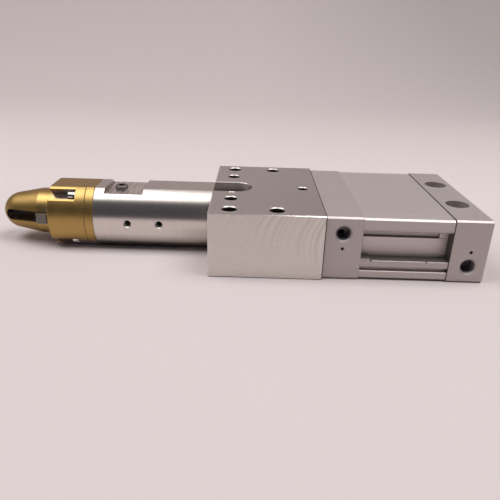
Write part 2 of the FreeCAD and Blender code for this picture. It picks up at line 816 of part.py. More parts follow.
def make_cam_slot():
    """The curved slot of the clamp arm: the band that the cam pin sweeps in the arm over the stroke."""
    half = s.cam_pin.value / 2 + s.running_gap.value
    full = s.stroke.value
    start, middle, end = (cam_point(full * share) for share in (0.0, 0.5, 1.0))
    centre = Part.Arc(start, middle, end).toShape().Curve.Center
    lines = []
    for side in (half, -half):
        points = [point + (point - centre).normalize() * side for point in (start, middle, end)]
        lines.append(Part.Arc(*points).toShape())
    caps = []
    for point, way in ((start, start - middle), (end, end - middle)):
        outward = (point - centre).normalize()
        along = way - outward * way.dot(outward)
        caps.append(Part.Arc(point + outward * half, point + along.normalize() * half,
                             point - outward * half).toShape())
    wire = Part.Wire(Part.__sortEdges__([lines[0], caps[1], lines[1], caps[0]]))
    thick = s.arm_thick.value
    tool = doc.addObject("Part::Feature", "cam_slot")
    tool.Shape = Part.Face(wire).extrude(Vector(0, 0, thick))
    tool.Placement = Placement(Vector(pivot_x.value, 0, axis_height.value - thick / 2), Rotation())
    return tool


def make_clamp_arm():
    """Flat hook arm: pivot eye at the rear, cam slot in the middle, hook at the front."""
    body = new_body("arm_blank")
    half = s.arm_thick / 2
    boss = s.arm_boss / 2
    outline = new_sketch(body, "outline", "XY_Plane", -half)
    polygon(outline, [
        (pivot_x, s.arm_back), (pivot_x - s.cam_lever, s.arm_back),
        (hook_front + s.hook_edge, s.arm_tip_back), (hook_front, s.arm_tip_back - s.hook_edge),
        (hook_front, -s.hook_reach + s.hook_edge), (hook_front + s.hook_edge, -s.hook_reach),
        (hook_rear - s.hook_edge / 2, -s.hook_reach), (hook_rear, -s.hook_reach + s.hook_edge / 2),
        (hook_rear, -s.arm_front), (fork_front, -s.arm_front), (pivot_x, -boss)])
    add(body, outline, s.arm_thick)
    eye = new_sketch(body, "eye", "XY_Plane", -half)
    circles(eye, [(pivot_x, ZERO)], boss)
    add(body, eye, s.arm_thick)
    hole = new_sketch(body, "eye_hole", "XY_Plane", -half)
    circles(hole, [(pivot_x, ZERO)], s.pivot_pin / 2 + s.running_gap)
    take(body, hole, s.arm_thick)
    arm = doc.addObject("Part::Cut", "clamp_arm")
    arm.Label = "clamp_arm"
    arm.Base = body
    arm.Tool = make_cam_slot()
    return arm


def make_pivot_pin():
    """Pin pressed through both prongs of the rod's fork."""
    body = new_body("pivot_pin")
    bar = new_sketch(body, "bar", "XY_Plane", -(s.pivot_pin_long / 2))
    circles(bar, [(pivot_x, ZERO)], s.pivot_pin / 2)
    add(body, bar, s.pivot_pin_long)
    return body


def make_piston_rod():
    """Ground rod with a fork at the front and a threaded tail that carries the piston."""
    body = new_body("piston_rod")
    round_bar(body, "bar", fork_front, piston_front - fork_front, rod_radius)
    tail_long = s.piston_long - s.stop_gap
    round_bar(body, "tail", piston_front, tail_long, s.rod_tail / 2)
    slot = new_sketch(body, "fork", "XZ_Plane", -rod_radius)
    half = arm_slot_high / 2
    tongue(slot, fork_front, pivot_x + s.fork_back - half, half)
    take(body, slot, s.rod_dia)
    bore_down(body, "pin_way", rod_radius, s.rod_dia, s.pivot_pin / 2, [(pivot_x, ZERO)])
    return body


def make_piston():
    """Flat oval piston with grooves for its seal, magnet and wear ring, and room for its nut."""
    body = new_body("piston")
    wide = bore_wide - s.piston_gap * 2
    high = bore_high - s.piston_gap * 2
    outline = new_sketch(body, "outline", "YZ_Plane", piston_front)
    obround(outline, wide, high)
    add(body, outline, s.piston_long)
    for name, start, length, deep in piston_grooves():
        groove = new_sketch(body, f"{name}_groove", "YZ_Plane", start)
        obround(groove, bore_wide, bore_high)
        obround(groove, wide - deep * 2, high - deep * 2)
        take(body, groove, length)
    bore_rearward(body, "tail_way", piston_front, s.piston_long, s.rod_tail / 2)
    bore_forward(body, "nut_room", piston_rear, s.nut_high + s.head_room,
                 s.nut_across / math.sqrt(3) + s.nut_clear)
    return body


def piston_grooves():
    """Name, start, length and depth of each groove, from the front of the piston."""
    seal = piston_front + s.seal_inset
    magnet = seal + s.seal_long + s.groove_land
    wear = magnet + s.magnet_long + s.groove_land
    return [("piston_seal", seal, s.seal_long, s.seal_deep),
            ("magnet", magnet, s.magnet_long, s.magnet_deep),
            ("wear_ring", wear, s.wear_long, s.wear_deep)]


def make_piston_rings():
    """The seal, the magnet and the wear ring fill their grooves and clear the bore."""
    wide = bore_wide - s.piston_gap * 2
    high = bore_high - s.piston_gap * 2
    rings = []
    for name, start, length, deep in piston_grooves():
        rings.append(oval_ring(name, start, length, wide, high, deep))
    return rings


def make_piston_nut():
    """Hexagon nut on the rod's tail, inside the piston."""
    body = new_body("piston_nut")
    start = piston_rear - s.nut_high - s.head_room
    outline = new_sketch(body, "outline", "YZ_Plane", start)
    hexagon(outline, s.nut_across)
    circles(outline, [(ZERO, ZERO)], s.rod_tail / 2)
    add(body, outline, s.nut_high)
    return body


def tap_port(body, middle, side, into_tube):
    """An air port on the -Y face, its offset airway and the small mark hole beside it."""
    face = s.cover_wide / 2
    height = s.port_drop * side
    way_height = (s.port_drop - s.air_way_rise) * side
    bore_inward(body, "port", face, s.port_deep, s.port_dia / 2, [(middle, height)])
    chamfer_mouths(body, "port_mouth", "XZ_Plane", face, s.port_dia / 2, s.port_edge, [(middle, height)])
    way_radius = s.air_way / 2
    bore_inward(body, "port_way", face, s.air_way_inset + way_radius, way_radius, [(middle, way_height)])
    bore_inward(body, "mark_hole", face, s.mark_hole_deep, s.mark_hole / 2, [(middle, ZERO)])
    outlet = [(-(face - s.air_way_inset), way_height)]
    if into_tube > 0:
        bore_rearward(body, "airway", middle, cover_rear - middle, s.air_outlet / 2, outlet)
    else:
        bore_forward(body, "airway", middle, middle - tube_rear, s.air_outlet / 2, outlet)


def make_rod_cover():
    """Front cover: it guides and seals the rod and takes air for the outward stroke's return."""
    half_high = cover_high / 2
    body = plate("rod_cover", block_rear, s.cover_long, s.cover_wide, -half_high, half_high, s.cover_edge)
    bore_rearward(body, "rod_way", block_rear, s.cover_long, bush_radius)
    bore_rearward(body, "seal_seat", block_rear, s.rod_seal_long + s.retainer_long, s.rod_seal_dia / 2)
    bore_rearward(body, "tie_ways", block_rear, s.cover_long, tie_way, four(*tie_place))
    tap_port(body, block_rear + s.rod_port_inset, 1, 1)
    gasket_groove(body, cover_rear, along_normal=False)
    return body


def make_head_cover():
    """Rear cover: tie bolt heads at the back, two counterbored mounting holes from the top."""
    half_high = cover_high / 2
    body = plate("head_cover", tube_rear, s.head_long, s.cover_wide, -half_high, half_high, s.cover_edge)
    middle = tube_rear + s.head_long / 2
    places = [(middle, s.head_hole_pitch / 2), (middle, -(s.head_hole_pitch / 2))]
    bore_down(body, "bolt_ways", half_high, cover_high, s.head_bolt_hole / 2, places)
    bore_down(body, "bolt_heads", half_high, s.head_hole_deep, s.head_hole / 2, places)
    bore_rearward(body, "tie_ways", tube_rear, s.head_long, tie_way, four(*tie_place))
    bore_forward(body, "tie_heads", head_rear, s.tie_bolt + s.head_room, tie_head_room, four(*tie_place))
    tap_port(body, head_rear - s.head_port_inset, -1, -1)
    gasket_groove(body, tube_rear, along_normal=True)
    return body


def gasket_groove(body, face, along_normal):
    """Oval groove in a cover's face, just outside the bore, for the tube's gasket."""
    groove = new_sketch(body, "gasket_groove", "YZ_Plane", face)
    outer = (s.gasket_rise + s.gasket_cord) * 2
    obround(groove, bore_wide + outer, bore_high + outer)
    obround(groove, bore_wide + s.gasket_rise * 2, bore_high + s.gasket_rise * 2)
    take(body, groove, s.gasket_cord, along_normal)


def make_tube_gaskets():
    """One rubber ring at each end of the tube."""
    rings = []
    outer = (s.gasket_rise + s.gasket_cord) * 2
    for name, start in (("front_gasket", cover_rear - s.gasket_cord), ("rear_gasket", tube_rear)):
        ring = oval_ring(name, start, s.gasket_cord, bore_wide + outer, bore_high + outer, s.gasket_cord)
        rings.append(ring)
    return group("tube_gaskets", rings)


def rail_edges(feature, places):
    """Names of the edges that run along the tube through the given points of its section, on both sides."""
    names = []
    for number, rim in enumerate(feature.Shape.Edges, start=1):
        middle = rim.valueAt((rim.FirstParameter + rim.LastParameter) / 2)
        for across, up in places:
            if abs(abs(middle.y) - across.value) < TOUCH and abs(middle.z - up.value) < TOUCH:
                names.append(f"Edge{number}")
    return names


def make_cylinder_tube():
    """Flat extruded tube with an oval bore and, on both sides, rails, a switch slot and a foot groove."""
    body = new_body("cylinder_tube")
    wide = tube_half_wide
    high = tube_half_high
    edge = s.cover_edge
    groove = wide - s.foot_groove_deep
    side = [
        (wide - edge, high), (wide, high - edge), (wide, rail_low),
        (switch_slot_floor, rail_low), (switch_slot_floor, switch_lip), (recess_floor, switch_lip),
        (recess_floor, bar_top), (wide, bar_top), (wide, bar_low), (groove, bar_low), (groove, foot_top),
        (wide, foot_top), (wide, -high + edge), (wide - edge, -high)]
    other_side = [(-across, up) for across, up in reversed(side)]
    outline = new_sketch(body, "profile", "YZ_Plane", cover_rear)
    polygon(outline, side + other_side)
    extrusion = add(body, outline, tube_long)
    rounds = body.newObject("PartDesign::Fillet", "rail_rounds")
    rounds.Base = (extrusion, rail_edges(extrusion, [(wide, rail_low), (wide, bar_low)]))
    bind(rounds, "Radius", s.rail_round)
    doc.recompute()
    edges = body.newObject("PartDesign::Chamfer", "rail_edges")
    edges.Base = (rounds, rail_edges(rounds, [(wide, bar_top), (wide, foot_top), (recess_floor, switch_lip)]))
    bind(edges, "Size", s.rail_edge)
    doc.recompute()
    bore = new_sketch(body, "bore", "YZ_Plane", cover_rear)
    obround(bore, bore_wide, bore_high)
    take(body, bore, tube_long)
    bore_rearward(body, "tie_ways", cover_rear, tube_long, tie_way, four(*tie_place))
    notches = new_sketch(body, "bar_notches", "XZ_Plane", wide)
    half = s.bar_notch_wide / 2
    for middle in (cover_rear + s.lower_spacer_long + half, tube_rear - s.bar_notch_rear):
        root = (middle, bar_top - s.bar_notch_high)
        polygon(notches, [(middle - half, bar_top), root, (middle + half, bar_top)])
    take(body, notches, s.bar_notch_deep, along_normal=False)
    return body


def make_switch_spacers():
    """Two small blocks on the port side: one closes the end of the switch slot, one sits on the bar."""
    upper = new_body("upper_spacer")
    upper_sketch = new_sketch(upper, "outline", "YZ_Plane", tube_rear - s.upper_spacer_long)
    rectangle(upper_sketch, -recess_floor, -switch_slot_floor, switch_lip, rail_low)
    add(upper, upper_sketch, s.upper_spacer_long)
    lower = new_body("lower_spacer")
    lower_sketch = new_sketch(lower, "outline", "YZ_Plane", cover_rear)
    rectangle(lower_sketch, -tube_half_wide, -recess_floor, bar_top, bar_top + s.lower_spacer_high)
    add(lower, lower_sketch, s.lower_spacer_long)
    return group("switch_spacers", [upper, lower])


def make_bumper(label, start, inner):
    """Rubber oval pad that stops the piston."""
    body = new_body(label)
    sketch = new_sketch(body, "pad", "YZ_Plane", start)
    obround(sketch, bore_wide - s.bumper_inset * 2, bore_high - s.bumper_gap * 2)
    circles(sketch, [(ZERO, ZERO)], inner)
    add(body, sketch, s.bumper_long)
    return body


def make_tie_bolts():
    """Four long bolts from the head cover through the tube into the guide block."""
    seat = head_rear - s.tie_bolt - s.head_room
    shank = seat - block_rear + s.tie_thread
    bolt = socket_screw("tie_bolt", seat, shank, s.tie_bolt, tie_head, tie_place, True)
    return mirrored_four("tie_bolts", bolt)


def make_neck_screws():
    """Four screws from the back of the guide block into the neck."""
    seat = block_rear - s.neck_screw - s.head_room
    shank = seat - block_front + s.neck_screw_thread
    screw = socket_screw("neck_screw", seat, shank, s.neck_screw, neck_head, neck_screw_place, True)
    return mirrored_four("neck_screws", screw)


def make_seat_screws():
    """Four screws in the notches of the seat ring, through both rings into the neck."""
    seat = spacer_front - s.seat_web - s.lock_washer_long
    shank = neck_front + s.seat_screw_thread - seat
    screw = socket_screw("seat_screw", seat, shank, s.seat_screw, s.seat_screw_head, seat_screw_place, False)
    return mirrored_four("seat_screws", screw)


def make_lock_washers():
    """A split spring washer under the head of each seat screw."""
    body = new_body("lock_washer")
    start = spacer_front - s.seat_web - s.lock_washer_long
    ring = new_sketch(body, "ring", "YZ_Plane", start)
    circles(ring, [seat_screw_place], s.lock_washer_dia / 2)
    circles(ring, [seat_screw_place], seat_screw_way)
    add(body, ring, s.lock_washer_long)
    across, up = seat_screw_place
    half = s.lock_washer_slit / 2
    slit = new_sketch(body, "slit", "YZ_Plane", start)
    rectangle(slit, across, across + s.lock_washer_dia, up - half, up + half)
    take(body, slit, s.lock_washer_long)
    return mirrored_four("lock_washers", body)


def make_nose_dowel():
    """Small dowel that keeps the nose from turning."""
    body = new_body("nose_dowel")
    start = neck_front - s.nose_flange_long
    round_bar(body, "bar", start, s.nose_dowel_long, s.nose_dowel / 2, [nose_dowel_place])
    return body


running_radius = rod_radius + s.running_gap
seal_start = block_rear + s.retainer_long
bush_start = seal_start + s.rod_seal_long

nodes = [
    make_guide_block(),
    make_neck(),
    make_neck_screws(),
    make_spacer_ring(),
    make_seat_ring(),
    make_seat_screws(),
    make_lock_washers(),
    make_locating_nose(),
    make_nose_dowel(),
    make_cam_pin(),
    ring_bar("block_bush", block_front + s.block_bush_inset, s.block_bush_long, bush_radius, running_radius),
    make_rod_cover(),
    ring_bar("rod_bush", bush_start, cover_rear - bush_start, bush_radius, running_radius),
    ring_bar("rod_seal", seal_start, s.rod_seal_long, s.rod_seal_dia / 2, running_radius),
    ring_bar("seal_retainer", block_rear, s.retainer_long, s.rod_seal_dia / 2, rod_way),
    make_cylinder_tube(),
    make_switch_spacers(),
    make_tube_gaskets(),
    make_bumper("rod_bumper", cover_rear, rod_way),
    make_bumper("head_bumper", tube_rear - s.bumper_long, rod_way),
    make_head_cover(),
    make_tie_bolts(),
    make_piston_rod(),
    make_piston(),
    *make_piston_rings(),
    make_piston_nut(),
    make_pivot_pin(),
    make_clamp_arm(),
]

doc.recompute()
for item in doc.Objects:
    if "Invalid" in item.State or "Error" in item.State:
        raise RuntimeError(f"{item.Label} did not build: {item.State}")
for node in nodes:
    if node.Shape.isNull() or not node.Shape.isValid() or not node.Shape.Solids:
        raise RuntimeError(f"{node.Label} has no valid solid")

os.makedirs("parts", exist_ok=True)
for node in nodes:
    node.Shape.exportStep(os.path.join("parts", f"{node.Label}.step"))
print(f"{len(nodes)} sub-parts")
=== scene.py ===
"""Pin clamp cylinder: the finish of each piece in the order of assembly, then the studio and the camera."""

import json
import math

import bpy
from mathutils import Matrix, Vector


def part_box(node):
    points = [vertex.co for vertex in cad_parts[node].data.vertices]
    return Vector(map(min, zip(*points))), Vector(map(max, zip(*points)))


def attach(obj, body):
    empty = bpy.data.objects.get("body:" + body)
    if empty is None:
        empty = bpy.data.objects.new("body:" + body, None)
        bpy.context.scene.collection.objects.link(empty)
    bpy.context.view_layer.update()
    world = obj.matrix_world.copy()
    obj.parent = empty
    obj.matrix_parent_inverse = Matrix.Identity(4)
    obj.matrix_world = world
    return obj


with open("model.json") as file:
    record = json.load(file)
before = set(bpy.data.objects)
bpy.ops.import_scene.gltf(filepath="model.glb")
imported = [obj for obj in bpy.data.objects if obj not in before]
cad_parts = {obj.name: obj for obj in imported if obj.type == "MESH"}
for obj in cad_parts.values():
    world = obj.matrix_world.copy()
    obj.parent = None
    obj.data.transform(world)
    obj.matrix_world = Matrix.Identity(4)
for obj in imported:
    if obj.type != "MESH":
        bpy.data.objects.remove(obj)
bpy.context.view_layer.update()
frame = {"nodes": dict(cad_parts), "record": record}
nodes = frame["nodes"]

# Guide block
# A sawn aluminium plate, face milled on all its sides, with drilled and chamfered holes.
# The neck is screwed to its front end and the flat cylinder to its rear end.
MM = 0.001
# A Mix node has several sockets of each name, so its colour sockets are reached by their numbers.
COLOUR_A = 6
COLOUR_B = 7
COLOUR_OUT = 2
SKY_SAMPLES = 8
SKY_CLOSED = 0.3
SKY_BORED = 0.52
SKY_OPEN = 0.72
SLOPE = math.sqrt(0.5)
SLOPE_SPREAD = 0.12
JOINT_HALF = 0.42 * MM
JOINT_SHADE = 0.85


def linear(hex_colour):
    """Linear RGBA of an sRGB hex colour."""
    channels = [int(hex_colour[i:i + 2], 16) / 255 for i in (1, 3, 5)]
    return [c / 12.92 if c <= 0.04045 else ((c + 0.055) / 1.055) ** 2.4 for c in channels] + [1.0]


def add_node(material, kind, inputs, **settings):
    """Adds a node with its settings; each input takes a value or the output that feeds it."""
    node = material.node_tree.nodes.new("ShaderNode" + kind)
    for name, value in settings.items():
        setattr(node, name, value)
    for name, value in inputs.items():
        if isinstance(value, bpy.types.NodeSocket):
            material.node_tree.links.new(value, node.inputs[name])
        else:
            node.inputs[name].default_value = value
    return node


def new_finish(name, metallic):
    """A material of that name, its shader, and the node that gives places on the piece."""
    material = bpy.data.materials.new(name)
    material.use_nodes = True
    shader = material.node_tree.nodes["Principled BSDF"]
    shader.inputs["Metallic"].default_value = metallic
    place = add_node(material, "TexCoord", {})
    return material, shader, place


def stretched_noise(material, place, sizes, detail):
    """A noise pattern whose marks have those sizes along X, Y and Z, in metres."""
    stretch = add_node(material, "Mapping", {"Vector": place.outputs["Object"],
                                             "Scale": [1 / size for size in sizes]})
    noise = add_node(material, "TexNoise", {"Vector": stretch.outputs[0], "Scale": 1.0, "Detail": detail})
    return noise.outputs["Fac"]


def tint(material, shader, pattern, tones, reach, hollow_share, painted_light_and_marks=1.0, bored=False, hollow_colour="#000000"):
    """Runs the base colour from one tone to the other with a pattern.

    Holes and grooves narrower than the reach, in metres, see little sky, and there the colour is mixed
    towards the hollow colour: painted shade where that is black, as it is unless given. The hollow share is
    the share of the colour that is left there. The painted light and marks are a further share, and both may
    be outputs. On a bored piece only its own walls hide the sky, and its holes count as closed sooner.
    """
    low, high = tones
    colour = add_node(material, "Mix", {"Factor": pattern, COLOUR_A: linear(low), COLOUR_B: linear(high)},
                      data_type="RGBA")
    # Painted shade: the colour is mixed towards the hollow colour where the occlusion finds little sky.
    sky = add_node(material, "AmbientOcclusion", {"Distance": reach}, samples=SKY_SAMPLES, only_local=bored)
    open_share = add_node(material, "MapRange", {"Value": sky.outputs["AO"], "To Min": hollow_share, "From Max": SKY_OPEN,
                                            "From Min": SKY_BORED if bored else SKY_CLOSED})
    share = add_node(material, "Math", {0: open_share.outputs["Result"], 1: painted_light_and_marks}, operation="MULTIPLY")
    hollow_mixed = add_node(material, "Mix", {"Factor": share.outputs[0], COLOUR_A: linear(hollow_colour),
                                        COLOUR_B: colour.outputs[COLOUR_OUT]},
                      data_type="RGBA", clamp_factor=False)
    material.node_tree.links.new(hollow_mixed.outputs[COLOUR_OUT], shader.inputs["Base Color"])


def painted_top_and_joint_shade(material, upward, shade_depth, along, joints):
    """The share of colour left by painted light and shade: faces that look up are painted darker, and the
    chamfers at the joints are painted dark as shade.

    Faces that look sideways are painted lighter by as much as the top is painted darker. The joints are
    given by their places along the axis.
    """
    # Painted light and shade: darker on the top and lighter on the sides.
    top_shaded = add_node(material, "MapRange", {"Value": upward, "To Min": 1 + shade_depth, "To Max": 1 - shade_depth})
    share = top_shaded.outputs["Result"]
    for joint in joints:
        # Painted shade on the chamfers at each joint.
        near = add_node(material, "Math", {0: along, 1: joint, 2: JOINT_HALF}, operation="COMPARE")
        darker = add_node(material, "Math", {0: near.outputs[0], 1: -JOINT_SHADE, 2: share},
                          operation="MULTIPLY_ADD")
        share = darker.outputs[0]
    return share


def gloss(material, shader, pattern, roughness):
    """Runs the roughness from one value to the other with a pattern."""
    low, high = roughness
    spread = add_node(material, "MapRange", {"Value": pattern, "To Min": low, "To Max": high})
    material.node_tree.links.new(spread.outputs["Result"], shader.inputs["Roughness"])
    return spread.outputs["Result"]


def finish_chamfers(material, shader, place, rough, chamfer_rough, above=0.0):
    """Gives the chamfers, which slope at 45 degrees, a roughness of their own above that height."""
    point = add_node(material, "SeparateXYZ", {0: place.outputs["Object"]})
    normal = add_node(material, "SeparateXYZ", {0: place.outputs["Normal"]})
    high_up = add_node(material, "Math", {0: point.outputs["Z"], 1: above}, operation="GREATER_THAN")
    sideways = add_node(material, "Math", {0: normal.outputs["Y"]}, operation="ABSOLUTE")
    slope = add_node(material, "Math", {0: sideways.outputs[0], 1: SLOPE, 2: SLOPE_SPREAD},
                     operation="COMPARE")
    cut = add_node(material, "Math", {0: slope.outputs[0], 1: high_up.outputs[0]}, operation="MULTIPLY")
    blend = add_node(material, "Mix", {"Factor": cut.outputs[0], "A": rough, "B": chamfer_rough})
    material.node_tree.links.new(blend.outputs[0], shader.inputs["Roughness"])


def relief(material, shader, pattern, depth):
    """Raises a pattern by a depth in metres."""
    bump = add_node(material, "Bump", {"Height": pattern, "Distance": depth})
    material.node_tree.links.new(bump.outputs["Normal"], shader.inputs["Normal"])


def finish_node(name, material):
    """Gives a piece of the frame its finish."""
    nodes[name].material_slots[0].material = material


def heel_arcs(material, point, feed, middle):
    """The arcs that the heel of the milling cutter drags over a face while it is fed along it."""
    cutter_radius = 32 * MM
    arc_spacing = 2.6 * MM
    faintest = 0.35
    strongest = 0.65
    above = add_node(material, "Math", {0: point.outputs["Z"], 1: middle}, operation="SUBTRACT")
    square = add_node(material, "Math", {0: above.outputs[0], 1: above.outputs[0]}, operation="MULTIPLY")
    left = add_node(material, "Math", {0: cutter_radius ** 2, 1: square.outputs[0]}, operation="SUBTRACT")
    bulge = add_node(material, "Math", {0: left.outputs[0]}, operation="SQRT")
    along = add_node(material, "Math", {0: feed, 1: bulge.outputs[0]}, operation="ADD")
    arcs = add_node(material, "TexNoise", {"W": along.outputs[0], "Scale": 1 / arc_spacing, "Detail": 1.0},
                    noise_dimensions="1D")
    bands = add_node(material, "MapRange", {"Value": arcs.outputs["Fac"], "From Min": faintest,
                                            "From Max": strongest})
    return bands.outputs["Result"]


def milled_marks(material, place, point, upward, low, high):
    """The marks of milling a block of that box: a fine lay, and arcs near one top corner of each side."""
    lay_width = 0.35 * MM
    lay_length = 5 * MM
    corner_lean = 0.5
    corner_reach = 1.2
    heel_weight = 0.8
    middle = (low.z + high.z) / 2
    normal = add_node(material, "SeparateXYZ", {0: place.outputs["Normal"]})
    end_on = add_node(material, "Math", {0: normal.outputs["X"]}, operation="ABSOLUTE")
    feed = add_node(material, "Mix", {"Factor": end_on.outputs[0], "A": point.outputs["X"],
                                      "B": point.outputs["Y"]})
    arcs = heel_arcs(material, point, feed.outputs[0], middle)
    lay = stretched_noise(material, place, (lay_length, lay_width, lay_width), detail=2.0)
    corner = add_node(material, "Math", {0: feed.outputs[0], 1: corner_lean, 2: point.outputs["Z"]},
                      operation="MULTIPLY_ADD")
    heel = add_node(material, "MapRange", {"Value": corner.outputs[0], "From Min": middle,
                                           "From Max": corner_reach * high.z, "To Max": heel_weight})
    sides = add_node(material, "Math", {0: 1.0, 1: upward}, operation="SUBTRACT")
    drag = add_node(material, "Math", {0: heel.outputs["Result"], 1: sides.outputs[0]}, operation="MULTIPLY")
    marks = add_node(material, "Mix", {"Factor": drag.outputs[0], "A": lay, "B": arcs})
    return marks.outputs[0]


def face_milled_aluminium():
    """Face-milled aluminium: satin grey, cutter's marks, painted shade in holes, two polished long edges."""
    slot_half = 10.5 * MM
    edge_wide = 2 * MM
    top_shade = 0.05
    # Shares of colour left by the painted shade in the holes and, less dark, in the slot at the front end.
    hole_shade = 0.12
    slot_shade = 0.4
    rim_rough = 0.45
    edge_rough = 0.17
    material, shader, place = new_finish("face_milled_aluminium", 1.0)
    low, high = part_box("guide_block")
    point = add_node(material, "SeparateXYZ", {0: place.outputs["Object"]})
    normal = add_node(material, "SeparateXYZ", {0: place.outputs["Normal"]})
    upward = add_node(material, "Math", {0: normal.outputs["Z"]}, operation="ABSOLUTE")
    marks = milled_marks(material, place, point, upward.outputs[0], low, high)
    # Painted light and shade: the top a little darker, the sides lighter, and the chamfer at the joint dark.
    painted_light_and_marks = painted_top_and_joint_shade(material, upward.outputs[0], top_shade, point.outputs["X"], [high.x])
    midway = add_node(material, "Math", {0: point.outputs["Y"], 1: 0.0, 2: slot_half}, operation="COMPARE")
    ahead = add_node(material, "Math", {0: point.outputs["X"], 1: 0.0}, operation="LESS_THAN")
    slot = add_node(material, "Math", {0: midway.outputs[0], 1: ahead.outputs[0]}, operation="MULTIPLY")
    hollow_share = add_node(material, "Mix", {"Factor": slot.outputs[0], "A": hole_shade, "B": slot_shade})
    tint(material, shader, marks, tones=("#c7c0bb", "#dfd8d3"), reach=11 * MM, hollow_share=hollow_share.outputs[0],
         painted_light_and_marks=painted_light_and_marks, bored=True)
    rough = gloss(material, shader, marks, roughness=(0.36, 0.42))
    across = add_node(material, "Math", {0: point.outputs["Y"]}, operation="ABSOLUTE")
    edge = add_node(material, "Math", {0: across.outputs[0], 1: high.y - edge_wide}, operation="GREATER_THAN")
    polish = add_node(material, "Mix", {"Factor": edge.outputs[0], "A": rim_rough, "B": edge_rough})
    finish_chamfers(material, shader, place, rough, polish.outputs[0])
    relief(material, shader, marks, depth=0.006 * MM)
    return material


finish_node("guide_block", face_milled_aluminium())

# Block bush
# A sintered bronze sleeve pressed into the block, which guides the rod.
# It is machined after sintering, so its surface shows fine pores.


def grained_finish(name, metallic, grain_size, tones, roughness, reach, hollow_share, detail=2.0, bored=False):
    """A finish whose colour and roughness both follow one grain of that size, in metres."""
    material, shader, place = new_finish(name, metallic)
    grain = add_node(material, "TexNoise", {"Vector": place.outputs["Object"], "Scale": 1 / grain_size,
                                            "Detail": detail})
    tint(material, shader, grain.outputs["Fac"], tones, reach, hollow_share, bored=bored)
    gloss(material, shader, grain.outputs["Fac"], roughness)
    return material


def sintered_bronze():
    """Sintered bronze: dull yellow brown with oil-dark pores."""
    return grained_finish("sintered_bronze", metallic=1.0, grain_size=0.25 * MM, tones=("#8f6b3c", "#c79a5c"),
                          roughness=(0.55, 0.35), reach=4 * MM, hollow_share=0.2)


bronze = sintered_bronze()
finish_node("block_bush", bronze)

# Neck
# A turned aluminium tube with a flat milled along its top and a pocket milled over the cam pin.
# The lathe tool leaves fine rings round it, and the end mill leaves streaks on the flats.


def turned_aluminium():
    """Turned aluminium: bright, with rings round the axis that spread highlights along it.

    The milled flats are duller, and in the pocket the end mill's streaks are plain to see.
    """
    ring_width = 0.35 * MM
    band_width = 2.5 * MM
    band_weight = 0.35
    streak_width = 1.6 * MM
    streak_length = 14 * MM
    path_range = (0.4, 0.6)
    pocket_deep = 1 * MM
    swirl_band = (0.3, 0.7)
    swirl_share = (0.8, 1.5)
    flat_starts = 0.98
    flat_full = 0.995
    turned_rough = 0.31
    flat_rough = 0.4
    material, shader, place = new_finish("turned_aluminium", 1.0)
    point = add_node(material, "SeparateXYZ", {0: place.outputs["Object"]})
    normal = add_node(material, "SeparateXYZ", {0: place.outputs["Normal"]})
    rings = add_node(material, "TexNoise", {"W": point.outputs["X"], "Scale": 1 / ring_width, "Detail": 2.0},
                     noise_dimensions="1D")
    bands = add_node(material, "TexNoise", {"W": point.outputs["X"], "Scale": 1 / band_width},
                     noise_dimensions="1D")
    lathe = add_node(material, "Mix", {"Factor": band_weight, "A": rings.outputs["Fac"],
                                       "B": bands.outputs["Fac"]})
    streaks = stretched_noise(material, place, (streak_width, streak_length, streak_width), detail=3.0)
    paths = add_node(material, "MapRange", {"Value": streaks, "To Min": path_range[0],
                                            "To Max": path_range[1]})
    flat = add_node(material, "MapRange", {"Value": normal.outputs["Z"], "From Min": flat_starts,
                                           "From Max": flat_full})
    marks = add_node(material, "Mix", {"Factor": flat.outputs["Result"], "A": lathe.outputs[0],
                                       "B": paths.outputs["Result"]})
    sunk = add_node(material, "Math", {0: point.outputs["Z"], 1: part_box("neck")[1].z - pocket_deep},
                    operation="LESS_THAN")
    pocket = add_node(material, "Math", {0: flat.outputs["Result"], 1: sunk.outputs[0]}, operation="MULTIPLY")
    swirl = add_node(material, "MapRange", {"Value": streaks, "From Min": swirl_band[0],
                                            "From Max": swirl_band[1], "To Min": swirl_share[0],
                                            "To Max": swirl_share[1]})
    painted_light_and_marks = add_node(material, "Mix", {"Factor": pocket.outputs[0], "A": 1.0, "B": swirl.outputs["Result"]})
    # Painted shade: the colour also darkens where the neck comes near the floor and the other pieces.
    tint(material, shader, marks.outputs[0], tones=("#cdc5bf", "#e0d8d1"), reach=10 * MM, hollow_share=0.4,
         painted_light_and_marks=painted_light_and_marks.outputs[0])
    gloss(material, shader, flat.outputs["Result"], roughness=(turned_rough, flat_rough))
    relief(material, shader, marks.outputs[0], depth=0.004 * MM)
    shader.inputs["Anisotropic"].default_value = 0.7
    shader.inputs["Anisotropic Rotation"].default_value = 0.25
    tangent = add_node(material, "Tangent", {}, direction_type="RADIAL", axis="X")
    material.node_tree.links.new(tangent.outputs[0], shader.inputs["Tangent"])
    return material


turned = turned_aluminium()
finish_node("neck", turned)

# Screws that hold the neck, the cylinder and the seat ring
# Socket head screws of alloy steel. The long ones are blackened, and the four small ones
# in the seat ring's notches are nickel plated and bright, as are the washers under them.


def blackened_steel():
    """Black oxide on steel: dark and slightly brown, with a dull oily sheen."""
    return grained_finish("blackened_steel", metallic=1.0, grain_size=1.2 * MM, tones=("#423e3c", "#655f5c"),
                          roughness=(0.48, 0.62), reach=3 * MM, hollow_share=0.2, detail=4.0)


def nickel_plated_steel():
    """Nickel plate: bright and slightly warm, with faint wrench scuffs."""
    return grained_finish("nickel_plated_steel", metallic=1.0, grain_size=0.5 * MM,
                          tones=("#c9c3bb", "#f0ece5"), roughness=(0.1, 0.24), reach=2 * MM, hollow_share=0.2,
                          detail=3.0)


blackened = blackened_steel()
nickel = nickel_plated_steel()
finish_node("neck_screws", blackened)
finish_node("tie_bolts", blackened)
finish_node("seat_screws", nickel)
finish_node("lock_washers", nickel)

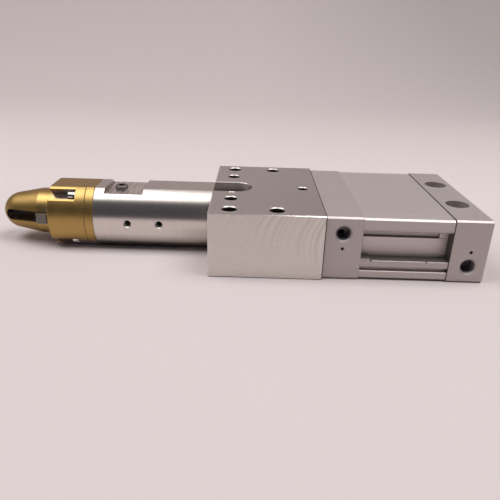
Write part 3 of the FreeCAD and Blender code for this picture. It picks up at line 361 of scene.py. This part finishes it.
# Cam pin
# A steel cross pin with a hexagon socket, which stands in the floor of the neck's pocket.
# The arm's curved slot rides on it. It is phosphated, so it is matt.


def phosphated_steel():
    """Zinc phosphate on steel: mid grey and matt, with fine crystals and painted shade in its socket."""
    return grained_finish("phosphated_steel", metallic=1.0, grain_size=0.4 * MM, tones=("#716b69", "#8f8885"),
                          roughness=(0.5, 0.6), reach=4 * MM, hollow_share=0.15, bored=True)


finish_node("cam_pin", phosphated_steel())

# Clamp arm, its pivot pin and the nose dowel
# The arm is hardened steel, ground on its two flat sides, and its hook comes out of the nose.
# The pins are ground all over.


def ground_hardened_steel():
    """Hardened steel, ground: mid grey with fine straight scratches from the wheel."""
    scratch_width = 0.12 * MM
    scratch_length = 6 * MM
    material, shader, place = new_finish("ground_hardened_steel", 1.0)
    scratches = stretched_noise(material, place, (scratch_length, scratch_width, scratch_width),
                                detail=2.0)
    tint(material, shader, scratches, tones=("#656260", "#7f7b77"), reach=4 * MM, hollow_share=0.2)
    gloss(material, shader, scratches, roughness=(0.28, 0.44))
    return material


hardened = ground_hardened_steel()
for name in ("clamp_arm", "pivot_pin", "nose_dowel"):
    finish_node(name, hardened)

# Spacer ring, seat ring and locating nose
# Turned tool steel with a gold-coloured nitride coating. The rings are screwed to the neck,
# and the nose is held under the seat ring.


def nitride_coated_steel():
    """Titanium nitride on turned steel: satin gold, a little browner where the coating is thin.

    The work rubs the nose matt in front of its straight base, and there its tone is also painted darker as
    shade. The coating hardly reaches into the slot and the notches, where the steel is grey.
    """
    ring_width = 0.3 * MM
    cloud_size = 7 * MM
    cloud_weight = 0.6
    straight_base = 9.8 * MM
    front_shade_tone = 0.1
    worn_rough = 0.44
    bare_steel = "#bfc0d0"
    material, shader, place = new_finish("nitride_coated_steel", 1.0)
    point = add_node(material, "SeparateXYZ", {0: place.outputs["Object"]})
    rings = add_node(material, "TexNoise", {"W": point.outputs["X"], "Scale": 1 / ring_width, "Detail": 2.0},
                     noise_dimensions="1D")
    clouds = add_node(material, "TexNoise", {"Vector": place.outputs["Object"], "Scale": 1 / cloud_size,
                                             "Detail": 4.0})
    marks = add_node(material, "Mix", {"Factor": cloud_weight, "A": rings.outputs["Fac"],
                                       "B": clouds.outputs["Fac"]})
    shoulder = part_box("seat_ring")[0].x - straight_base
    worn_and_shaded = add_node(material, "Math", {0: point.outputs["X"], 1: shoulder}, operation="LESS_THAN")
    # Painted shade: in front of the straight base the tone is pulled towards the darker one.
    painted_front_shade = add_node(material, "MapRange", {"Value": worn_and_shaded.outputs[0], "To Min": 1.0, "To Max": front_shade_tone})
    tone = add_node(material, "Math", {0: marks.outputs[0], 1: painted_front_shade.outputs["Result"]}, operation="MULTIPLY")
    tint(material, shader, tone.outputs[0], tones=("#a48650", "#c2a164"), reach=9 * MM, hollow_share=0.15,
         hollow_colour=bare_steel)
    fresh = gloss(material, shader, marks.outputs[0], roughness=(0.33, 0.41))
    worn = add_node(material, "Mix", {"Factor": worn_and_shaded.outputs[0], "A": fresh, "B": worn_rough})
    material.node_tree.links.new(worn.outputs[0], shader.inputs["Roughness"])
    relief(material, shader, rings.outputs["Fac"], depth=0.0012 * MM)
    return material


gold = nitride_coated_steel()
for name in ("spacer_ring", "seat_ring", "locating_nose"):
    finish_node(name, gold)

# Rod cover and head cover
# Aluminium covers of the flat cylinder, bead blasted and clear anodised to a soft satin.
# Each has an air port on its side, and four long bolts clamp the tube between them.
SMOOTH_EDGE = 0.3


def blasted_anodised_aluminium():
    """Blasted and anodised aluminium: even, fine-grained grey with hardly any reflection."""
    grain_size = 0.3 * MM
    cloud_size = 15 * MM
    cloud_weight = 0.5
    edge_high = 2 * MM
    top_shade = 0.03
    material, shader, place = new_finish("blasted_anodised_aluminium", 0.6)
    point = add_node(material, "SeparateXYZ", {0: place.outputs["Object"]})
    normal = add_node(material, "SeparateXYZ", {0: place.outputs["Normal"]})
    grain = add_node(material, "TexNoise", {"Vector": place.outputs["Object"], "Scale": 1 / grain_size})
    clouds = add_node(material, "TexNoise", {"Vector": place.outputs["Object"], "Scale": 1 / cloud_size,
                                             "Detail": 3.0})
    marks = add_node(material, "Mix", {"Factor": cloud_weight, "A": grain.outputs["Fac"],
                                       "B": clouds.outputs["Fac"]})
    joints = [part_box(name)[0].x for name in ("rod_cover", "head_cover")]
    # Painted light and shade: the top a little darker, the sides lighter, and the chamfers at the joints
    # dark.
    painted_light_and_marks = painted_top_and_joint_shade(material, normal.outputs["Z"], top_shade, point.outputs["X"], joints)
    tint(material, shader, marks.outputs[0], tones=("#bab0ad", "#c7bdba"), reach=9 * MM, hollow_share=0.7,
         painted_light_and_marks=painted_light_and_marks, bored=True)
    rough = gloss(material, shader, marks.outputs[0], roughness=(0.5, 0.58))
    finish_chamfers(material, shader, place, rough, SMOOTH_EDGE, above=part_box("rod_cover")[1].z - edge_high)
    relief(material, shader, grain.outputs["Fac"], depth=0.004 * MM)
    return material


blasted = blasted_anodised_aluminium()
finish_node("rod_cover", blasted)
finish_node("head_cover", blasted)

# Threads of the air ports and of the neck's two side holes
# The ports are tapped with a fine pipe thread, and the side holes for M5 screws.
# The tap leaves one helical ridge that stands in from the wall of the hole.
THREAD_STEPS = 24
THREAD_ROOT = 0.15 * MM
RIDGE_SHARE = 0.85
TRIANGLE_HIGH = 1.5
TRIANGLE_WIDE = math.sqrt(3)
SHARP_ANGLE = math.radians(30)
PORT_PITCH = 0.907 * MM
PORT_CREST = 0.3 * MM
PORT_LEAD_IN = 1.5 * PORT_PITCH
PORT_RUN_OUT = 2 * PORT_PITCH
TAP_PITCH = 0.8 * MM
TAP_CREST = 0.25 * MM
TAP_LEAD_IN = 0.8 * MM
TAP_LONG = 5.5 * MM


def dark_tapped_aluminium():
    """Tapped aluminium: dark grey and dull, much darker than the covers, with the fine grain of the cut."""
    return grained_finish("dark_tapped_aluminium", metallic=0.6, grain_size=0.4 * MM,
                          tones=("#635f66", "#746f77"), roughness=(0.45, 0.6), reach=3 * MM, hollow_share=0.6)


def tap_thread(name, mouth, radius, length, pitch, crest, material):
    """The ridge of a thread in a hole that runs from its mouth towards +Y.

    Its section is a triangle, drawn in a circle of radius 1 and scaled. The foot is sunk in the wall.
    """
    deep = (crest + THREAD_ROOT) / TRIANGLE_HIGH
    wide = RIDGE_SHARE * pitch / TRIANGLE_WIDE
    bpy.ops.object.select_all(action="DESELECT")
    bpy.ops.mesh.primitive_circle_add(
        vertices=3, radius=1, location=(radius + THREAD_ROOT - deep / 2, 0, 0),
        rotation=(math.radians(90), math.radians(-90), 0))
    ridge = bpy.context.object
    ridge.name = name
    ridge.scale = (wide, deep, 1)
    bpy.ops.object.transform_apply()
    bpy.ops.object.modifier_add(type="SCREW")
    helix = ridge.modifiers[-1]
    helix.screw_offset = pitch
    helix.iterations = int(length / pitch)
    helix.steps = helix.render_steps = THREAD_STEPS
    bpy.ops.object.modifier_apply(modifier=helix.name)
    bpy.ops.object.mode_set(mode="EDIT")
    bpy.ops.mesh.select_all(action="SELECT")
    bpy.ops.mesh.fill_holes(sides=3)
    bpy.ops.mesh.normals_make_consistent(inside=False)
    bpy.ops.object.mode_set(mode="OBJECT")
    ridge.rotation_euler.x = math.radians(-90)
    ridge.location = mouth
    bpy.ops.object.transform_apply()
    bpy.ops.object.shade_smooth_by_angle(angle=SHARP_ANGLE)
    ridge.data.materials.append(material)
    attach(ridge, "housing")


dark_tapped = dark_tapped_aluminium()
mounts = {mount["name"]: mount for mount in frame["record"]["mounts"]}
for port, cover in (("rod_port", "rod_cover"), ("head_port", "head_cover")):
    hole = mounts[port]["dims"]
    centre = Vector(mounts[port]["pos_m"])
    centre.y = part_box(cover)[0].y + PORT_LEAD_IN
    tap_thread(f"{port}_thread", centre, hole["r_mm"] * MM, hole["length_mm"] * MM - PORT_RUN_OUT,
               PORT_PITCH, PORT_CREST, dark_tapped)
taps = mounts["neck_taps"]
for end, way in (("front", -1), ("rear", 1)):
    centre = Vector(taps["pos_m"])
    centre.x += way * taps["dims"]["spacing_x_mm"] / 2 * MM
    centre.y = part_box("neck")[0].y + TAP_LEAD_IN
    tap_thread(f"neck_thread_{end}", centre, taps["dims"]["hole_r_mm"] * MM, TAP_LONG,
               TAP_PITCH, TAP_CREST, turned)

# Bushes, seals, gaskets and bumpers of the cylinder
# Moulded nitrile rubber, with a bronze bush for the rod and a steel washer that holds the rod seal.
# They are clamped between the covers and the tube.


def moulded_nitrile():
    """Moulded nitrile rubber: matt black with the faint grain of its mould."""
    return grained_finish("moulded_nitrile", metallic=0.0, grain_size=0.2 * MM, tones=("#161616", "#262524"),
                          roughness=(0.5, 0.7), reach=2 * MM, hollow_share=0.3)


nitrile = moulded_nitrile()
for name in ("rod_seal", "tube_gaskets", "rod_bumper", "head_bumper", "piston_seal"):
    finish_node(name, nitrile)
finish_node("rod_bush", bronze)
finish_node("seal_retainer", hardened)

# Piston rod, piston and nut
# The rod is hard chromed and ground. The oval piston is aluminium, with a resin wear ring
# and a bonded magnet that the switches outside sense.


def ground_chrome():
    """Hard chrome, ground and polished: bright and cool, with rings that hardly show."""
    ring_width = 0.15 * MM
    material, shader, place = new_finish("ground_chrome", 1.0)
    point = add_node(material, "SeparateXYZ", {0: place.outputs["Object"]})
    rings = add_node(material, "TexNoise", {"W": point.outputs["X"], "Scale": 1 / ring_width},
                     noise_dimensions="1D")
    tint(material, shader, rings.outputs["Fac"], tones=("#c4c6c9", "#dadcde"), reach=4 * MM, hollow_share=0.3)
    gloss(material, shader, rings.outputs["Fac"], roughness=(0.08, 0.16))
    return material


def bronze_filled_resin():
    """Resin filled with bronze powder: pale and matt, with specks of its filler."""
    return grained_finish("filled_resin", metallic=0.0, grain_size=0.3 * MM, tones=("#b3a78f", "#d8cfba"),
                          roughness=(0.45, 0.65), reach=2 * MM, hollow_share=0.3)


def bonded_ferrite():
    """Bonded ferrite: charcoal grey and matt, with specks of magnet powder."""
    return grained_finish("bonded_ferrite", metallic=0.0, grain_size=0.3 * MM, tones=("#2b2a2a", "#4a4847"),
                          roughness=(0.5, 0.7), reach=2 * MM, hollow_share=0.3)


finish_node("piston_rod", ground_chrome())
finish_node("piston", turned)
finish_node("piston_nut", nickel)
finish_node("wear_ring", bronze_filled_resin())
finish_node("magnet", bonded_ferrite())

# Cylinder tube and the spacers in its switch grooves
# An extruded aluminium tube, anodised: the die draws faint lines along it.
# The spacers are short lengths of the same metal, slid into the ends of the grooves.


def recess_shade(material, place):
    """Tube side's colour share: painted shade on ledges and between rails, painted light on the floors."""
    between_rails = 13 * MM
    rail_shade = 0.1
    ledge_starts = 0.5
    ledge_shade = 0.55
    recess_deep = 7.5 * MM
    recess_light = 0.45
    groove_deep = 3 * MM
    groove_light = 0.9
    floor_half = 0.1 * MM
    bottom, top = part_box("cylinder_tube")
    point = add_node(material, "SeparateXYZ", {0: place.outputs["Object"]})
    normal = add_node(material, "SeparateXYZ", {0: place.outputs["Normal"]})
    between = add_node(material, "Math", {0: point.outputs["Z"], 1: (bottom.z + top.z) / 2, 2: between_rails},
                       operation="COMPARE")
    ledge = add_node(material, "Math", {0: normal.outputs["Z"], 1: between.outputs[0]}, operation="MULTIPLY")
    # Painted shade on the ledges that look up between the rails.
    ledge_shaded = add_node(material, "MapRange", {"Value": ledge.outputs[0], "From Min": ledge_starts,
                                            "To Min": 1.0, "To Max": ledge_shade})
    across = add_node(material, "Math", {0: point.outputs["Y"]}, operation="ABSOLUTE")
    share = add_node(material, "Math", {0: between.outputs[0], 1: -rail_shade, 2: ledge_shaded.outputs["Result"]},
                     operation="MULTIPLY_ADD")
    # Painted light on the floors of the recess and of the grooves.
    for deep, gain in ((recess_deep, recess_light), (groove_deep, groove_light)):
        floor = add_node(material, "Math", {0: across.outputs[0], 1: top.y - deep, 2: floor_half},
                         operation="COMPARE")
        share = add_node(material, "Math", {0: floor.outputs[0], 1: gain, 2: share.outputs[0]},
                         operation="MULTIPLY_ADD")
    return share.outputs[0]


def extruded_anodised_aluminium():
    """Extruded and anodised aluminium: satin grey with faint die lines."""
    line_width = 0.5 * MM
    line_length = 40 * MM
    grain_size = 0.3 * MM
    grain_weight = 0.35
    material, shader, place = new_finish("extruded_anodised_aluminium", 0.6)
    lines = stretched_noise(material, place, (line_length, line_width, line_width), detail=3.0)
    grain = add_node(material, "TexNoise", {"Vector": place.outputs["Object"], "Scale": 1 / grain_size})
    marks = add_node(material, "Mix", {"Factor": grain_weight, "A": lines, "B": grain.outputs["Fac"]})
    # Painted shade on the ledges and between the rails, and painted light on the floors of the recess and
    # grooves.
    painted_light_and_marks = recess_shade(material, place)
    tint(material, shader, marks.outputs[0], tones=("#c2b8b5", "#cfc5c1"), reach=5 * MM, hollow_share=0.9,
         painted_light_and_marks=painted_light_and_marks)
    rough = gloss(material, shader, marks.outputs[0], roughness=(0.46, 0.54))
    finish_chamfers(material, shader, place, rough, SMOOTH_EDGE)
    relief(material, shader, lines, depth=0.003 * MM)
    return material


extruded = extruded_anodised_aluminium()
finish_node("cylinder_tube", extruded)
finish_node("switch_spacers", extruded)

# Floor and backdrop
# Pale paper that lies flat under the part and sweeps up behind it.
FLOOR_WIDE = 6.0
FLOOR_FRONT = -3.0
SWEEP_START = 0.6
SWEEP_RADIUS = 0.7
SWEEP_STEPS = 24
WALL_HIGH = 1.2


def pale_paper():
    """Matt paper: pale and faintly pink, with a fibre grain that hardly shows.

    It is painted a little lighter behind the part, as light, and darker towards its far right corner, as
    shade.
    """
    fibre_size = 2 * MM
    shade_reach = 0.5
    corner_shade = 0.83
    light_reach = 0.13
    behind_light = 1.07
    material, shader, place = new_finish("pale_paper", 0.0)
    fibres = add_node(material, "TexNoise", {"Vector": place.outputs["Object"], "Scale": 1 / fibre_size})
    point = add_node(material, "SeparateXYZ", {0: place.outputs["Object"]})
    # Painted light and shade: lighter behind the part, darker towards the far right corner.
    corner = add_node(material, "Math", {0: point.outputs["X"], 1: point.outputs["Y"]}, operation="MULTIPLY")
    painted_corner_shade = add_node(material, "MapRange", {"Value": corner.outputs[0], "From Max": shade_reach, "To Min": 1.0,
                                           "To Max": corner_shade})
    painted_light_behind = add_node(material, "MapRange", {"Value": point.outputs["Y"], "From Max": light_reach, "To Min": 1.0,
                                           "To Max": behind_light})
    shade = add_node(material, "Math", {0: painted_corner_shade.outputs["Result"], 1: painted_light_behind.outputs["Result"]},
                     operation="MULTIPLY")
    colour = add_node(material, "Mix", {"Factor": fibres.outputs["Fac"], COLOUR_A: linear("#dbd1d0"),
                                        COLOUR_B: linear("#ddd3d2")}, data_type="RGBA")
    toned = add_node(material, "Mix", {"Factor": 1.0, COLOUR_A: colour.outputs[COLOUR_OUT],
                                       COLOUR_B: shade.outputs[0]}, data_type="RGBA", blend_type="MULTIPLY")
    material.node_tree.links.new(toned.outputs[COLOUR_OUT], shader.inputs["Base Color"])
    shader.inputs["Roughness"].default_value = 0.9
    shader.inputs["Specular IOR Level"].default_value = 0.0
    return material


def select_back_edge(mesh):
    """Selects only the edge that lies furthest back and highest."""
    bpy.ops.object.mode_set(mode="OBJECT")
    furthest = max(vertex.co.y for vertex in mesh.vertices)
    highest = max(vertex.co.z for vertex in mesh.vertices)
    for edge in mesh.edges:
        ends = [mesh.vertices[i].co for i in edge.vertices]
        edge.select = all(p.y > furthest - MM and p.z > highest - MM for p in ends)
    bpy.ops.object.mode_set(mode="EDIT")


bpy.ops.object.select_all(action="DESELECT")
bpy.ops.mesh.primitive_plane_add(size=1)
backdrop = bpy.context.object
backdrop.name = "backdrop"
bpy.ops.object.mode_set(mode="EDIT")
bpy.ops.mesh.select_mode(type="EDGE")
bpy.ops.transform.resize(value=(FLOOR_WIDE, SWEEP_START - FLOOR_FRONT, 1))
bpy.ops.transform.translate(value=(0, (SWEEP_START + FLOOR_FRONT) / 2, 0))
bpy.ops.mesh.select_all(action="DESELECT")
select_back_edge(backdrop.data)
bpy.ops.mesh.spin(steps=SWEEP_STEPS, angle=math.radians(-90), center=(0, SWEEP_START, SWEEP_RADIUS),
                  axis=(1, 0, 0))
select_back_edge(backdrop.data)
bpy.ops.mesh.extrude_region_move(TRANSFORM_OT_translate={"value": (0, 0, WALL_HIGH)})
bpy.ops.object.mode_set(mode="OBJECT")
bpy.ops.object.shade_smooth()
backdrop.data.materials.append(pale_paper())

# Studio light
# Two soft boxes over the part, a little in front of it, with a gap between them,
# and a dark cloth that hangs in front, which the camera doesn't see.
BOX_SIZE = 0.8
BOX_PLACES = {"left": -0.7, "right": 0.54}
BOX_FORWARD = -0.15
BOX_HEIGHT = 1.15
BOX_POWER = 8.4
CLOTH_FORWARD = -0.95
CLOTH_WIDE = 4.0
CLOTH_HIGH = 2.0

for side, across in BOX_PLACES.items():
    bpy.ops.object.light_add(type="AREA", location=(across, BOX_FORWARD, BOX_HEIGHT))
    box = bpy.context.object
    box.name = f"soft_box_{side}"
    box.data.shape = "SQUARE"
    box.data.size = BOX_SIZE
    box.data.energy = BOX_POWER


def dark_cloth():
    """Dyed cotton: dark grey, with a soft nap."""
    nap_size = 3 * MM
    material, shader, place = new_finish("dark_cloth", 0.0)
    nap = add_node(material, "TexNoise", {"Vector": place.outputs["Object"], "Scale": 1 / nap_size})
    tint(material, shader, nap.outputs["Fac"], tones=("#3f4149", "#4a4c55"), reach=3 * MM, hollow_share=0.5)
    shader.inputs["Roughness"].default_value = 1.0
    return material


bpy.ops.mesh.primitive_plane_add(size=1)
cloth = bpy.context.object
cloth.name = "front_cloth"
bpy.ops.object.mode_set(mode="EDIT")
bpy.ops.transform.resize(value=(CLOTH_WIDE, CLOTH_HIGH, 1))
bpy.ops.transform.rotate(value=math.radians(90), orient_axis="X", center_override=(0, 0, 0))
bpy.ops.transform.translate(value=(0, CLOTH_FORWARD, CLOTH_HIGH / 2))
bpy.ops.object.mode_set(mode="OBJECT")
cloth.data.materials.append(dark_cloth())
cloth.visible_camera = False

world = bpy.context.scene.world or bpy.data.worlds.new("studio")
bpy.context.scene.world = world
world.use_nodes = True
world.node_tree.nodes["Background"].inputs["Color"].default_value = linear("#b0acad")

# Camera
# It stands in front of the block at the photograph's height, tilted down and rolled a little.
CAMERA_PLACE = Vector((-1.1, -328.2, 137.4)) * MM
CAMERA_TILT = math.radians(23.568)
CAMERA_TURN = math.radians(0.066)
CAMERA_ROLL = math.radians(1.701)
CAMERA_LENS = 37.02
CAMERA_SHIFT = (0.0008, 0.001)

bpy.ops.object.camera_add()
camera = bpy.context.object
camera.name = "camera"
turn = Matrix.Rotation(CAMERA_TURN, 4, "Z")
tilt = Matrix.Rotation(math.radians(90) - CAMERA_TILT, 4, "X")
roll = Matrix.Rotation(CAMERA_ROLL, 4, "Z")
camera.matrix_world = Matrix.Translation(CAMERA_PLACE) @ turn @ tilt @ roll
camera.data.lens = CAMERA_LENS
camera.data.shift_x, camera.data.shift_y = CAMERA_SHIFT
camera.data.clip_start = 10 * MM
bpy.context.scene.camera = camera
bpy.context.scene.view_settings.view_transform = "Standard"
